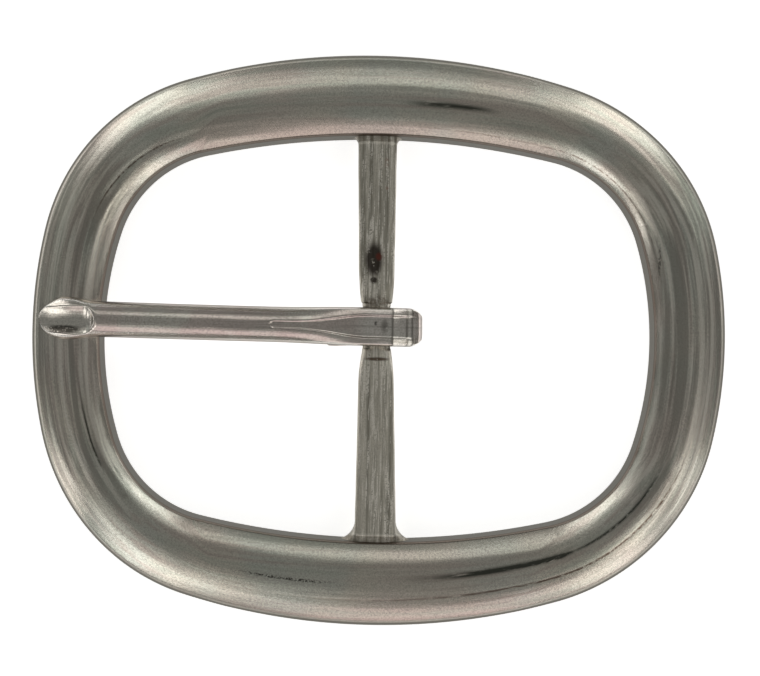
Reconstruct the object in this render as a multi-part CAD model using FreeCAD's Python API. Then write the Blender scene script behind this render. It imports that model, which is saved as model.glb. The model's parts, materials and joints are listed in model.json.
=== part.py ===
import FreeCAD, Part
import math
import os

# Centre-bar belt buckle. Millimetres. X runs along the strap, Y along the bar,
# Z out of the front. The origin is the middle of the oval on its flat back.

# Window that the strap passes through
window_length = 54.8
window_height = 40.0
window_long_radius = 79.0
window_side_radius = 34.6
window_corner_radius = 11.6

# Oval rim around the window
side_rail = 7.45
long_rail = 8.75
rim_long_radius = 66.7
rim_side_radius = 46.7
rim_corner_radius = 21.4
crease_height = 3.8
dome_rise = 1.2
crest_lean = 0.75
wall_inset = 0.35
crease_round = 0.45
back_bevel = 0.3
half_sections = 32

# Centre bar, cast with the rim, and the round neck that the prong turns on
upper_root_width = 3.87
lower_root_width = 4.15
bar_waist_width = 3.57
bar_edge_bevel = 0.45
upper_root_fillet = 0.8
lower_root_fillet = 2.0
root_sink = 0.25
upper_shoulder_width = 3.15
lower_shoulder_width = 2.9
shoulder_taper = 4.0
shoulder_step = 0.05
neck_radius = 1.35
neck_offset = 1.2

# Prong: blade, dished tip and the flattened strip bent round the neck
blade_width = 3.53
blade_thickness = 1.65
blade_side_height = 0.95
blade_side_inset = 0.35
tip_length = 4.4
tip_width = 4.1
tip_nose = 2.6
nose_fullness = 0.55
tip_setback = 1.55
tip_thickness = 0.75
tip_ridge = 0.4
tip_stations = 7
eye_width = 3.85
eye_corner = 0.9
strip_thickness = 1.05
strip_end_thickness = 0.85
strip_under_thickness = 0.65
strip_flat_length = 2.5
press_length = 9.0
groove_width = 2.0
groove_depth = 0.2
leg_length = 5.2
slot_slack = 2.25

# Fits
neck_fit = 0.08
neck_play = 0.545
rest_gap = 0.08
back_gap = 0.12

# Sizes that follow from the ones above
rim_half_length = window_length / 2 + side_rail
rim_half_height = window_height / 2 + long_rail
rim_thickness = crease_height + dome_rise
slot_radius = neck_radius + neck_fit
neck_length = eye_width + 2 * neck_play
axis_height = back_gap + strip_under_thickness + slot_radius
bar_half_thickness = neck_radius + shoulder_step
slot_top = axis_height + slot_radius
crest_x = -(window_length + side_rail) / 2 + crest_lean
tip_end_x = tip_setback - rim_half_length
tip_root_x = tip_end_x + tip_length
side_dome_reach = side_rail / 2 + crest_lean - wall_inset
side_dome_radius = (side_dome_reach ** 2 + dome_rise ** 2) / (2 * dome_rise)


def point(x, y, z):
    return FreeCAD.Vector(x, y, z)


def line(start, end):
    return Part.LineSegment(start, end).toShape()


def arc(start, middle, end):
    return Part.Arc(start, middle, end).toShape()


def bezier(poles):
    curve = Part.BezierCurve()
    curve.setPoles(poles)
    return curve.toShape()


def one_solid(shape):
    """The single solid of a boolean result, with its split faces joined."""
    return shape.removeSplitter().Solids[0]


# ---------------------------------------------------------------- oval outlines

def oval_arcs(half_length, half_height, long_radius, side_radius, corner_radius):
    """Centres and radii of the side, corner and long arcs in the first quarter,
    with the bearing at which each one ends."""
    long_drop = long_radius - half_height
    side_drop = side_radius - half_length
    reach_long = long_radius - corner_radius
    reach_side = side_radius - corner_radius
    apart = math.hypot(long_drop, side_drop)
    along = (apart ** 2 + reach_long ** 2 - reach_side ** 2) / (2 * apart)
    off = math.sqrt(reach_long ** 2 - along ** 2)
    ux = -side_drop / apart
    uy = long_drop / apart
    corner_x = along * ux + off * uy
    corner_y = along * uy - off * ux - long_drop
    side_end = math.atan2(corner_y, corner_x + side_drop)
    corner_end = math.atan2(corner_y + long_drop, corner_x)
    side = (-side_drop, 0.0, side_radius, side_end)
    corner = (corner_x, corner_y, corner_radius, corner_end)
    long = (0.0, -long_drop, long_radius, math.pi)
    return [side, corner, long]


def oval_point(arcs, bearing):
    """Point of the oval whose outward normal has this bearing."""
    normal_x = math.cos(bearing)
    normal_y = math.sin(bearing)
    quarter = math.atan2(abs(normal_y), abs(normal_x))
    for centre_x, centre_y, radius, end in arcs:
        if quarter <= end:
            break
    x = math.copysign(centre_x + radius * abs(normal_x), normal_x)
    y = math.copysign(centre_y + radius * abs(normal_y), normal_y)
    return point(x, y, 0)


# ---------------------------------------------------------------- rim

def dome_side(place, crest, reach, direction):
    """Crest, middle and end of the arc that falls from the crest towards one
    crease and stops short of the crease's rounding."""
    radius = (reach ** 2 + dome_rise ** 2) / (2 * dome_rise)
    full_turn = math.asin(reach / radius) - crease_round / radius
    points = []
    for turn in (0, full_turn / 2, full_turn):
        along = crest + direction * radius * math.sin(turn)
        points.append(place(along, rim_thickness - radius * (1 - math.cos(turn))))
    return points


def rim_section(outer, inner):
    """Closed section of the rim between a point of each outline: bevelled back
    edges, drafted walls, rounded creases and a front that rises to a crest
    nearer to the window."""
    width = (inner - outer).Length
    inward = (inner - outer) / width
    crest = width / 2 + crest_lean

    def place(along, height):
        return outer + inward * along + point(0, 0, height)

    def pair(along, height):
        return [place(along, height), place(width - along, height)]

    slope = wall_inset / crease_height
    wall_top = crease_height - crease_round
    below = pair(2 * back_bevel, -back_bevel)
    bevel = pair(slope * back_bevel, back_bevel)
    wall = pair(slope * wall_top, wall_top)
    crease = pair(wall_inset, crease_height)
    outside = dome_side(place, crest, crest - wall_inset, -1)
    inside = dome_side(place, crest, width - wall_inset - crest, 1)
    edges = [line(below[0], bevel[0]), line(bevel[0], wall[0])]
    edges.append(bezier([wall[0], crease[0], outside[2]]))
    edges.append(arc(outside[2], outside[1], outside[0]))
    edges.append(arc(inside[0], inside[1], inside[2]))
    edges.append(bezier([inside[2], crease[1], wall[1]]))
    edges += [line(wall[1], bevel[1]), line(bevel[1], below[1]), line(below[1], below[0])]
    return Part.Wire(edges)


def make_rim():
    """Oval rim: the upper half is lofted a little past the strap's middle line and
    cut there, then mirrored, so that the two halves meet smoothly."""
    outer = oval_arcs(rim_half_length, rim_half_height, rim_long_radius,
                      rim_side_radius, rim_corner_radius)
    inner = oval_arcs(window_length / 2, window_height / 2, window_long_radius,
                      window_side_radius, window_corner_radius)
    sections = []
    for number in range(-2, half_sections + 3):
        bearing = math.pi * number / half_sections
        sections.append(rim_section(oval_point(outer, bearing), oval_point(inner, bearing)))
    length = 2 * rim_half_length + 2
    height = rim_half_height + 1
    upper_space = Part.makeBox(length, height, rim_thickness + 1, point(-length / 2, 0, 0))
    upper = Part.makeLoft(sections, True).common(upper_space)
    lower = upper.mirror(point(0, 0, 0), point(0, 1, 0))
    return one_solid(upper.fuse(lower))


# ---------------------------------------------------------------- centre bar

def arm_half_outline(side, root_y, shoulder_y, fillet, widths):
    """One side of an arm in plan: root fillet, straight flank and shoulder taper."""
    toward = math.copysign(1, shoulder_y - root_y)
    root_half = widths[0] / 2
    waist_half = bar_waist_width / 2
    shoulder_half = widths[1] / 2
    taper_y = shoulder_y - toward * shoulder_taper
    inset = waist_half - shoulder_half
    taper_radius = (shoulder_taper ** 2 + inset ** 2) / (2 * inset)
    half_angle = math.asin(shoulder_taper / taper_radius) / 2
    middle_x = waist_half - taper_radius * (1 - math.cos(half_angle))
    middle_y = taper_y + toward * taper_radius * math.sin(half_angle)
    turn = fillet * (1 - math.sqrt(0.5))
    outside = point(side * (root_half + fillet), root_y - toward * 2 * wall_inset, 0)
    root = point(side * (root_half + fillet), root_y, 0)
    bend = point(side * (root_half + turn), root_y + toward * turn, 0)
    flank = point(side * root_half, root_y + toward * fillet, 0)
    taper = point(side * waist_half, taper_y, 0)
    middle = point(side * middle_x, middle_y, 0)
    shoulder = point(side * shoulder_half, shoulder_y, 0)
    edges = [line(outside, root), arc(root, bend, flank), line(flank, taper)]
    edges.append(arc(taper, middle, shoulder))
    return edges


def make_arm(root_y, shoulder_y, fillet, widths):
    """One arm of the bar, from inside the rim to its shoulder at the neck; widths are
    those of the root and the shoulder."""
    right = arm_half_outline(1, root_y, shoulder_y, fillet, widths)
    left = arm_half_outline(-1, root_y, shoulder_y, fillet, widths)
    across_root = line(left[0].Vertexes[0].Point, right[0].Vertexes[0].Point)
    across_shoulder = line(right[3].Vertexes[1].Point, left[3].Vertexes[1].Point)
    loop = Part.Wire(Part.__sortEdges__([across_root] + right + [across_shoulder] + left))
    loop.translate(point(0, 0, axis_height - bar_half_thickness))
    arm = Part.Face(loop).extrude(point(0, 0, 2 * bar_half_thickness))
    long_edges = []
    for edge in arm.Edges:
        box = edge.BoundBox
        if box.ZLength < 0.01 and box.YLength > 0.01:
            long_edges.append(edge)
    return arm.makeChamfer(bar_edge_bevel, long_edges)


def make_bar(rim):
    """Centre bar: two arms and the neck between their shoulders, meeting the rim
    face to face at both ends."""
    root_y = window_height / 2 + root_sink
    upper_y = neck_offset + neck_length / 2
    lower_y = neck_offset - neck_length / 2
    upper = make_arm(root_y, upper_y, upper_root_fillet,
                     (upper_root_width, upper_shoulder_width))
    lower = make_arm(-root_y, lower_y, lower_root_fillet,
                     (lower_root_width, lower_shoulder_width))
    neck = Part.makeCylinder(neck_radius, neck_length, point(0, lower_y, axis_height),
                             point(0, 1, 0))
    return one_solid(upper.fuse([lower, neck]).cut(rim))


# ---------------------------------------------------------------- prong

def rise_to_rim():
    """Slope of the blade's underside and the place where it leaves that line to
    follow the rim: the tangent from the slot to the circle just over the dome."""
    centre_z = rim_thickness - side_dome_radius
    reach = math.hypot(crest_x, centre_z - slot_top)
    radius = side_dome_radius + rest_gap
    bearing = math.atan2(slot_top - centre_z, -crest_x)
    slope = math.asin(radius / reach) - bearing
    run = math.sqrt(reach ** 2 - radius ** 2)
    return math.tan(slope), -run * math.cos(slope)


def underside(x):
    """Height of the blade's underside."""
    slope, leave_x = rise_to_rim()
    if x >= leave_x:
        return slot_top - slope * x
    radius = side_dome_radius + rest_gap
    return rim_thickness - side_dome_radius + math.sqrt(radius ** 2 - (x - crest_x) ** 2)


def blade_section(x, width, thickness, side_height, side_inset):
    """Half-round section: flat underside, steep sides and an arched top."""
    low = underside(x)
    foot = width / 2
    shoulder = foot - side_inset
    feet = [point(x, neck_offset - foot, low), point(x, neck_offset + foot, low)]
    high = low + side_height
    sides = [point(x, neck_offset - shoulder, high), point(x, neck_offset + shoulder, high)]
    top = point(x, neck_offset, low + thickness)
    edges = [line(feet[0], feet[1]), line(feet[1], sides[1])]
    edges += [arc(sides[1], top, sides[0]), line(sides[0], feet[0])]
    return Part.Wire(edges)


def make_blade():
    """Blade from the tip's root to where the pressed strip is flat."""
    full = [blade_width, blade_thickness, blade_side_height, blade_side_inset]
    flat_side = strip_thickness - groove_depth / 2
    flat = [eye_width, strip_thickness, flat_side, groove_depth]
    sections = [blade_section(tip_root_x, *full), blade_section(-press_length, *full)]
    sections.append(blade_section(-strip_flat_length, *flat))
    return Part.makeLoft(sections, True, True)


def tip_section(x, ridge):
    """Dished section: flat underside and a hollow top between two ridges."""
    low = underside(x)
    corners = [point(x, neck_offset - tip_width / 2, low), point(x, neck_offset + tip_width / 2, low)]
    lift = point(0, 0, tip_thickness + ridge)
    ridges = [corners[0] + lift, corners[1] + lift]
    hollow = point(x, neck_offset, low + tip_thickness)
    edges = [line(corners[0], corners[1]), line(corners[1], ridges[1])]
    edges += [arc(ridges[1], hollow, ridges[0]), line(ridges[0], corners[0])]
    return Part.Wire(edges)


def tip_plan():
    """Plan of the tip: flared from the blade's width and rounded at the nose."""
    nose_x = tip_end_x + tip_nose
    half_blade = blade_width / 2
    half_tip = tip_width / 2
    bend_x = (tip_root_x + nose_x) / 2
    flare = []
    for side in (1, -1):
        start = point(tip_root_x, side * half_blade, 0)
        wide = point(nose_x, side * half_tip, 0)
        nose = point(tip_end_x, 0, 0)
        flare.append([start, point(bend_x, side * half_blade, 0),
                      point(bend_x, side * half_tip, 0), wide])
        flare.append([wide, point(nose_x - tip_nose * nose_fullness, side * half_tip, 0),
                      point(tip_end_x, side * half_tip * nose_fullness, 0), nose])
    edges = [bezier(poles) for poles in flare]
    edges.append(line(flare[2][0], flare[0][0]))
    loop = Part.Wire(Part.__sortEdges__(edges))
    loop.translate(point(0, neck_offset, 0))
    return Part.Face(loop).extrude(point(0, 0, 2 * rim_thickness))


def make_tip():
    """Dished tip that follows the rim's dome."""
    sections = []
    for number in range(tip_stations):
        part_way = number / (tip_stations - 1)
        ridge = tip_ridge * (0.5 + 0.5 * math.sin(math.pi * part_way))
        sections.append(tip_section(tip_root_x - tip_length * part_way, ridge))
    return Part.makeLoft(sections, True, False).common(tip_plan())


def eye_profile():
    """Side view of the strip bent round the neck, with its leg under the blade."""
    top = slot_top + strip_thickness
    end_x = slot_slack + slot_radius + strip_end_thickness
    end_z = (top + back_gap) / 2
    leg_radius = slot_radius + strip_under_thickness
    flat_z = underside(-strip_flat_length)
    leg_z = underside(-leg_length)
    leg_foot = leg_z - strip_under_thickness
    meet_z = slot_top - strip_under_thickness
    meet_x = -math.sqrt(leg_radius ** 2 - (meet_z - axis_height) ** 2)
    bend = math.sqrt(0.5) * leg_radius
    places = {
        "flat_top": point(-strip_flat_length, 0, flat_z + strip_thickness),
        "top": point(0, 0, top),
        "end_top": point(slot_slack, 0, top),
        "end": point(end_x, 0, end_z),
        "end_foot": point(slot_slack, 0, back_gap),
        "foot": point(0, 0, back_gap),
        "bend": point(-bend, 0, axis_height - bend),
        "meet": point(meet_x, 0, meet_z),
        "leg_foot": point(-leg_length, 0, leg_foot),
        "leg_top": point(-leg_length, 0, leg_z),
        "flat_foot": point(-strip_flat_length, 0, flat_z),
    }
    edges = [line(places["flat_top"], places["top"]), line(places["top"], places["end_top"])]
    edges.append(arc(places["end_top"], places["end"], places["end_foot"]))
    edges.append(line(places["end_foot"], places["foot"]))
    edges.append(arc(places["foot"], places["bend"], places["meet"]))
    edges.append(line(places["meet"], places["leg_foot"]))
    edges.append(line(places["leg_foot"], places["leg_top"]))
    edges.append(line(places["leg_top"], places["flat_foot"]))
    edges.append(line(places["flat_foot"], places["flat_top"]))
    return Part.Face(Part.Wire(edges))


def make_slot():
    """Slot that turns on the neck, long enough for the prong's free play."""
    width = 2 * eye_width
    start_y = neck_offset - eye_width
    round_end = Part.makeCylinder(slot_radius, width, point(0, start_y, axis_height), point(0, 1, 0))
    far_end = round_end.translated(point(slot_slack, 0, 0))
    middle = Part.makeBox(slot_slack, width, 2 * slot_radius,
                          point(0, start_y, axis_height - slot_radius))
    return round_end.fuse([far_end, middle])


def make_eye():
    """Strip bent into a closed eye, its far corners rounded in plan."""
    strip = eye_profile().extrude(point(0, eye_width, 0))
    strip.translate(point(0, neck_offset - eye_width / 2, 0))
    end_x = slot_slack + slot_radius + strip_end_thickness
    plan = Part.makeBox(leg_length + end_x, eye_width, 2 * rim_thickness,
                        point(-leg_length, neck_offset - eye_width / 2, 0))
    corners = []
    for edge in plan.Edges:
        box = edge.BoundBox
        if box.ZLength > rim_thickness and box.XMin > 0:
            corners.append(edge)
    plan = plan.makeFillet(eye_corner, corners)
    return strip.common(plan).cut(make_slot())


def make_groove():
    """Flat-bottomed groove pressed into the top of the strip: it runs out as a
    point on the blade's crest and follows the strip round its far end."""
    top = slot_top + strip_thickness
    end_z = (top + back_gap) / 2
    end_x = slot_slack + slot_radius + strip_end_thickness
    clear_x = end_x + groove_depth
    clear_z = 2 * rim_thickness
    floor = strip_thickness - groove_depth
    radius = top - groove_depth - end_z
    middle = radius * math.sqrt(0.5)
    start = point(-press_length, 0, underside(-press_length) + blade_thickness)
    flat = point(-strip_flat_length, 0, underside(-strip_flat_length) + floor)
    over_neck = point(0, 0, slot_top + floor)
    bend_start = point(slot_slack, 0, slot_top + floor)
    bend_middle = point(slot_slack + middle, 0, end_z + middle)
    bend_end = point(slot_slack + radius, 0, end_z)
    edges = [line(start, flat), line(flat, over_neck), line(over_neck, bend_start)]
    edges.append(arc(bend_start, bend_middle, bend_end))
    edges.append(line(bend_end, point(clear_x, 0, end_z)))
    edges.append(line(point(clear_x, 0, end_z), point(clear_x, 0, clear_z)))
    edges.append(line(point(clear_x, 0, clear_z), point(-press_length, 0, clear_z)))
    edges.append(line(point(-press_length, 0, clear_z), start))
    groove = Part.Face(Part.Wire(edges)).extrude(point(0, groove_width, 0))
    groove.translate(point(0, neck_offset - groove_width / 2, 0))
    return groove


def make_prong():
    """Prong in one piece: blade, tip and eye, with the pressed groove."""
    whole = make_blade().fuse([make_tip(), make_eye()])
    return one_solid(whole.cut(make_groove()))


# ---------------------------------------------------------------- build

def build():
    rim = make_rim()
    nodes = {
        "frame_ring": rim,
        "centre_bar": make_bar(rim),
        "prong": make_prong(),
    }
    os.makedirs("parts", exist_ok=True)
    for name, shape in nodes.items():
        shape.exportStep("parts/" + name + ".step")
        box = shape.BoundBox
        print(name, "valid", shape.isValid(), "volume %.2f" % shape.Volume,
              "x %.2f %.2f" % (box.XMin, box.XMax), "y %.2f %.2f" % (box.YMin, box.YMax),
              "z %.2f %.2f" % (box.ZMin, box.ZMax))


build()
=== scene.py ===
import json
import math

import bpy
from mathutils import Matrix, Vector, noise


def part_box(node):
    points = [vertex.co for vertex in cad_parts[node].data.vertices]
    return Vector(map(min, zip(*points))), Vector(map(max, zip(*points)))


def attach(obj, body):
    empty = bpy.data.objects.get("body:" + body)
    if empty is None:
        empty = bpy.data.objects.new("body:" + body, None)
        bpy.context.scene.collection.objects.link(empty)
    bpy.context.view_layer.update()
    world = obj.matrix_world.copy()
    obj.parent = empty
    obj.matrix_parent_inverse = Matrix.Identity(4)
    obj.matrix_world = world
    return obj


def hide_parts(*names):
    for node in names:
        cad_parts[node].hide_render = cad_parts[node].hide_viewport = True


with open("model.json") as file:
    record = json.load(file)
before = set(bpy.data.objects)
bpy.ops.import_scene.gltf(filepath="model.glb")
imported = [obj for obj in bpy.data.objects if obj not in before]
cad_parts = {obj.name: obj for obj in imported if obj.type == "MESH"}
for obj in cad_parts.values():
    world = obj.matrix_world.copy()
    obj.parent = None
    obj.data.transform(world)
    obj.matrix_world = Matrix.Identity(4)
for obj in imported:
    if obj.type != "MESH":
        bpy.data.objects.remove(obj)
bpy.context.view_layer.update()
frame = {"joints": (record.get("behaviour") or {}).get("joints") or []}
mm = 0.001


def softStep(low, high, value):  # 0 below low, 1 above high, smooth between; low may be the higher one
    share = min(1.0, max(0.0, (value - low) / (high - low)))
    return share * share * (3 - 2 * share)


def mixed(first, second, share):
    return first + (second - first) * share


def softMin(first, second, reach):
    gap = max(0.0, reach - abs(first - second)) / reach
    return min(first, second) - gap * gap * reach / 4


def ripple(x, y, z, seed=0.0):  # smooth noise about zero
    return noise.noise(Vector((x + seed, y - seed, z + 0.37 * seed)))


# every piece is a grid of rings of points, in millimetres
def gridPiece(name, rings, flows, zones, closed):
    points = [place for ring in rings for place in ring]
    count = len(rings[0])
    faces = []
    last = len(rings) if closed else len(rings) - 1
    for row in range(last):
        after = (row + 1) % len(rings)
        for column in range(count):
            beside = (column + 1) % count
            faces.append((row * count + column, row * count + beside,
                          after * count + beside, after * count + column))
    if not closed:
        faces.append(tuple(reversed(range(count))))
        faces.append(tuple((len(rings) - 1) * count + column for column in range(count)))
    mesh = bpy.data.meshes.new(name)
    mesh.from_pydata([Vector(place) * mm for place in points], [], faces)
    for label, rows in (("flow", flows), ("zone", zones)):
        layer = mesh.attributes.new(label, "FLOAT_VECTOR", "POINT")
        flat = [number for row in rows for item in row for number in item]
        layer.data.foreach_set("vector", flat)
    mesh.validate()
    mesh.shade_smooth()
    piece = bpy.data.objects.new(name, mesh)
    bpy.context.scene.collection.objects.link(piece)
    return piece


def faceOutward(piece):
    mesh = piece.data
    mesh.update()
    volume = 0.0
    for face in mesh.polygons:
        first = mesh.vertices[face.vertices[0]].co
        for index in range(1, len(face.vertices) - 1):
            second = mesh.vertices[face.vertices[index]].co
            third = mesh.vertices[face.vertices[index + 1]].co
            volume += first.dot(second.cross(third))
    if volume < 0:
        mesh.flip_normals()
    return piece


rim = {
    "windowLength": 54.8, "windowHeight": 40.0,
    "outerArcs": (66.7, 46.7, 21.4), "windowArcs": (79.0, 34.6, 11.6),  # long, side and corner radius
    "thickness": 5.0, "creaseHeight": 3.8, "wallInset": 0.35, "backRound": 0.3,
    "outerInset": 0.42, "outerDrop": 1.4, "outerRound": 0.55, "outerWall": 0.8,
    "innerInset": 0.22, "innerRound": 0.36,
    "crestLean": 0.75,  # how far the crest of the dome lies inward of the rail's middle
    "leanDrift": 0.12,  # how much that changes round the rim
    # out of round: lobes, swell, bearing of a peak
    "outOfRound": [(1, 0.073, -53.9), (2, 0.067, -34.0), (3, 0.148, 12.6)],
    "polish": 0.018,  # height of the hand-polished undulation
    "broadPace": 0.16, "narrowPace": 0.5, "narrowShare": 0.25,  # its two sizes of wave
    "facets": 0.032,  # height of the long ridges that polishing left
    "facetPace": 0.75, "fineFacetPace": 1.9, "fineFacetShare": 0.4, "facetTurns": 1.6,
    "flatBack": (0.5, 3.0),  # waves start above the first height and are full above the second
    "bearings": 720,  # sections round the rim
    "backSteps": 4, "wallSteps": 6, "creaseSteps": 12, "domeSteps": 27, "underSteps": 6,
    "flowLength": 30, "flowHeight": 25,  # the grain's own oval, in millimetres
    # ridges and dips along the rail: bearings, share across at each end, bend between, height, half width
    "ridges": [
        (92, 168, 0.71, 0.545, -0.01, 0.062, 0.038),
        (105, 160, 0.775, 0.645, -0.02, -0.036, 0.034),
        (255, 358, 0.29, 0.33, 0.065, -0.026, 0.020),
        (-4, 100, 0.33, 0.375, 0.01, 0.018, 0.040),
        (276, 350, 0.57, 0.57, 0.04, -0.024, 0.026),
        (182, 215, 0.67, 0.70, 0.01, -0.028, 0.025),
        (150, 176, 0.78, 0.80, 0.0, -0.022, 0.020),
        (186, 222, 0.84, 0.84, 0.0, -0.020, 0.016),
    ],
}


def ridgeHeight(bearing, share):  # how far the ridges lift the dome here
    height = 0.0
    degrees = math.degrees(bearing)
    runUp = 20  # a ridge may start this many degrees before zero
    for first, last, startShare, endShare, bend, tall, half in rim["ridges"]:
        part = ((degrees - first + runUp) % 360 - runUp) / (last - first)
        fade = softStep(0, 0.15, part) * softStep(1, 0.85, part)
        if fade > 0:
            centre = mixed(startShare, endShare, part) + bend * math.sin(math.pi * part)
            centre += ripple(part * 5, first, 0, 2.5) * 0.012
            height += tall * fade * math.exp(-((share - centre) / half) ** 2)
    return height


# arcs of the oval's first quarter: centre x and y, radius, bearing where each ends
def ovalArcs(halfLength, halfHeight, radii):
    longRadius, sideRadius, cornerRadius = radii
    longDrop = longRadius - halfHeight
    sideDrop = sideRadius - halfLength
    reachLong = longRadius - cornerRadius
    reachSide = sideRadius - cornerRadius
    apart = math.hypot(longDrop, sideDrop)
    along = (apart ** 2 + reachLong ** 2 - reachSide ** 2) / (2 * apart)
    off = math.sqrt(reachLong ** 2 - along ** 2)
    cornerX = (off * longDrop - along * sideDrop) / apart
    cornerY = (along * longDrop + off * sideDrop) / apart - longDrop
    sideEnd = math.atan2(cornerY, cornerX + sideDrop)
    cornerEnd = math.atan2(cornerY + longDrop, cornerX)
    return [(-sideDrop, 0.0, sideRadius, sideEnd), (cornerX, cornerY, cornerRadius, cornerEnd),
            (0.0, -longDrop, longRadius, math.pi)]


def ovalPoint(arcs, bearing):  # the point whose outward normal has this bearing
    normalX = math.cos(bearing)
    normalY = math.sin(bearing)
    quarter = math.atan2(abs(normalY), abs(normalX))
    for centreX, centreY, radius, end in arcs:
        if quarter <= end:
            break
    return Vector((math.copysign(centreX + radius * abs(normalX), normalX),
                   math.copysign(centreY + radius * abs(normalY), normalY), 0))


def flankProfile(outer, crest, width):  # one side of the section, from its back edge up to the crest
    top = rim["thickness"]
    back = rim["backRound"]
    inset = rim["outerInset" if outer else "innerInset"]
    rise = rim["outerDrop"] if outer else top - rim["creaseHeight"]
    soft = rim["outerRound" if outer else "innerRound"]
    down = rim["outerWall" if outer else "innerRound"]
    wallEnd, domeStart = (0.55, 1) if outer else (0.1, 0.6)  # where the wall's painted shade and roughness fade over the crease
    crease = top - rise
    reach = (crest if outer else width - crest) - inset
    radius = (reach ** 2 + rise ** 2) / (2 * rise)
    turn = math.asin(reach / radius) - soft / radius
    draft = inset / crease
    side = []
    for step in range(rim["backSteps"] + 1):
        angle = math.pi / 2 * step / rim["backSteps"]
        along = draft * back + back * (1 - math.sin(angle))
        side.append((along, back * (1 - math.cos(angle)), 1, 0))
    wallTop = crease - down
    for step in range(1, rim["wallSteps"] + 1):
        height = mixed(back, wallTop, step / rim["wallSteps"])
        side.append((draft * height, height, 1, 0))
    start = (draft * wallTop, wallTop)
    end = (reach + inset - radius * math.sin(turn), top - radius * (1 - math.cos(turn)))
    for step in range(1, rim["creaseSteps"] + 1):
        share = step / rim["creaseSteps"]
        along = (1 - share) ** 2 * start[0] + 2 * share * (1 - share) * inset + share ** 2 * end[0]
        height = (1 - share) ** 2 * start[1] + 2 * share * (1 - share) * crease + share ** 2 * end[1]
        # the inner crease, which is painted dark brown, partly as dirt and partly as shade
        edge = 0 if outer else math.sin(math.pi * share)
        side.append((along, height, 1 - softStep(wallEnd, domeStart, share), edge))
    for step in range(1, rim["domeSteps"]):
        angle = turn * (1 - step / rim["domeSteps"])
        along = reach + inset - radius * math.sin(angle)
        side.append((along, top - radius * (1 - math.cos(angle)), 0, 0))
    return side


def rimProfile(width, bearing):  # (along, height, wall, edge, share across) once round the section
    crest = width / 2 + rim["crestLean"] + rim["leanDrift"] * math.sin(2 * bearing + 0.6)
    outside = flankProfile(True, crest, width)
    inside = [(width - along, height, wall, edge)
              for along, height, wall, edge in reversed(flankProfile(False, crest, width))]
    steps = rim["underSteps"]
    under = [(mixed(inside[-1][0], outside[0][0], step / steps), 0, 1, 0) for step in range(1, steps)]
    ring = outside + [(crest, rim["thickness"], 0, 0)] + inside + under
    return [(along, height, wall, edge, along / width) for along, height, wall, edge in ring]


def rimWaves(place, along, bearing):  # the polisher's waves, and the long ridges between them
    broad, narrow, turns = rim["broadPace"], rim["narrowPace"], rim["facetTurns"]
    waves = ripple(place.x * broad, place.y * broad, along * 0.2, 3.1) * rim["polish"]
    waves += ripple(place.x * narrow, place.y * narrow, 0, 7.7) * rim["polish"] * rim["narrowShare"]
    laneX = turns * math.cos(bearing)
    laneY = turns * math.sin(bearing)
    facet = ripple(laneX, laneY, along * rim["facetPace"], 11.3)
    facet += rim["fineFacetShare"] * ripple(laneX * 2, laneY * 2, along * rim["fineFacetPace"], 4.9)
    return waves, facet * rim["facets"]


def makeRim():
    low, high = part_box("frame_ring")
    halfLength = (high.x - low.x) / mm / 2
    halfHeight = (high.y - low.y) / mm / 2
    outer = ovalArcs(halfLength, halfHeight, rim["outerArcs"])
    window = ovalArcs(rim["windowLength"] / 2, rim["windowHeight"] / 2, rim["windowArcs"])
    rings, flows, zones = [], [], []
    for number in range(rim["bearings"]):
        bearing = 2 * math.pi * number / rim["bearings"]
        outward = Vector((math.cos(bearing), math.sin(bearing), 0))
        start = ovalPoint(outer, bearing)
        for lobes, swell, peak in rim["outOfRound"]:
            start += outward * swell * math.cos(lobes * (bearing - math.radians(peak)))
        finish = ovalPoint(window, bearing)
        inward = (finish - start).normalized()
        width = (finish - start).length
        flowX = rim["flowLength"] * math.cos(bearing)
        flowY = rim["flowHeight"] * math.sin(bearing)
        ring, flow, zone = [], [], []
        for along, height, wall, edge, share in rimProfile(width, bearing):
            place = start + inward * along
            waves, facets = rimWaves(place, along, bearing)
            lift = waves + (facets + ridgeHeight(bearing, share)) * (1 - wall)
            ring.append((place.x, place.y, height + lift * softStep(*rim["flatBack"], height)))
            flow.append((flowX, flowY, along + height * 0.7))
            zone.append((wall, edge, share))
        rings.append(ring)
        flows.append(flow)
        zones.append(zone)
    return faceOutward(gridPiece("Rim", rings, flows, zones, True))


bar = {
    "upperRoot": 3.87, "lowerRoot": 4.15, "waist": 3.57, "halfThickness": 1.4,
    "upperShoulder": 3.1, "lowerShoulder": 2.92, "taper": 4.0,
    "upperFillet": 0.8, "lowerFillet": 2.0,
    "offset": -0.06, "lean": -0.0145,  # sideways, and for each millimetre along
    "neckRadius": 1.35, "neckLength": 4.94, "neckMiddle": 1.2, "neckFlare": 0.07,
    "upperLedge": 0.16, "lowerLedge": 0.4,  # length of the step up from the neck
    "edgeDrop": 0.12, "grooveDepth": 0.07, "fineGroove": 0.016, "dimple": 0.02, "sideWave": 0.03,
    "seam": 0.5,  # how far from the rim the cast line across each end lies
    "seamHeight": 0.04, "seamWidth": 0.09,
    "pace": 0.25, "rootPace": 0.08, "neckPace": 0.04,  # gap between sections
    "ringPoints": 72,
}


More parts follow.
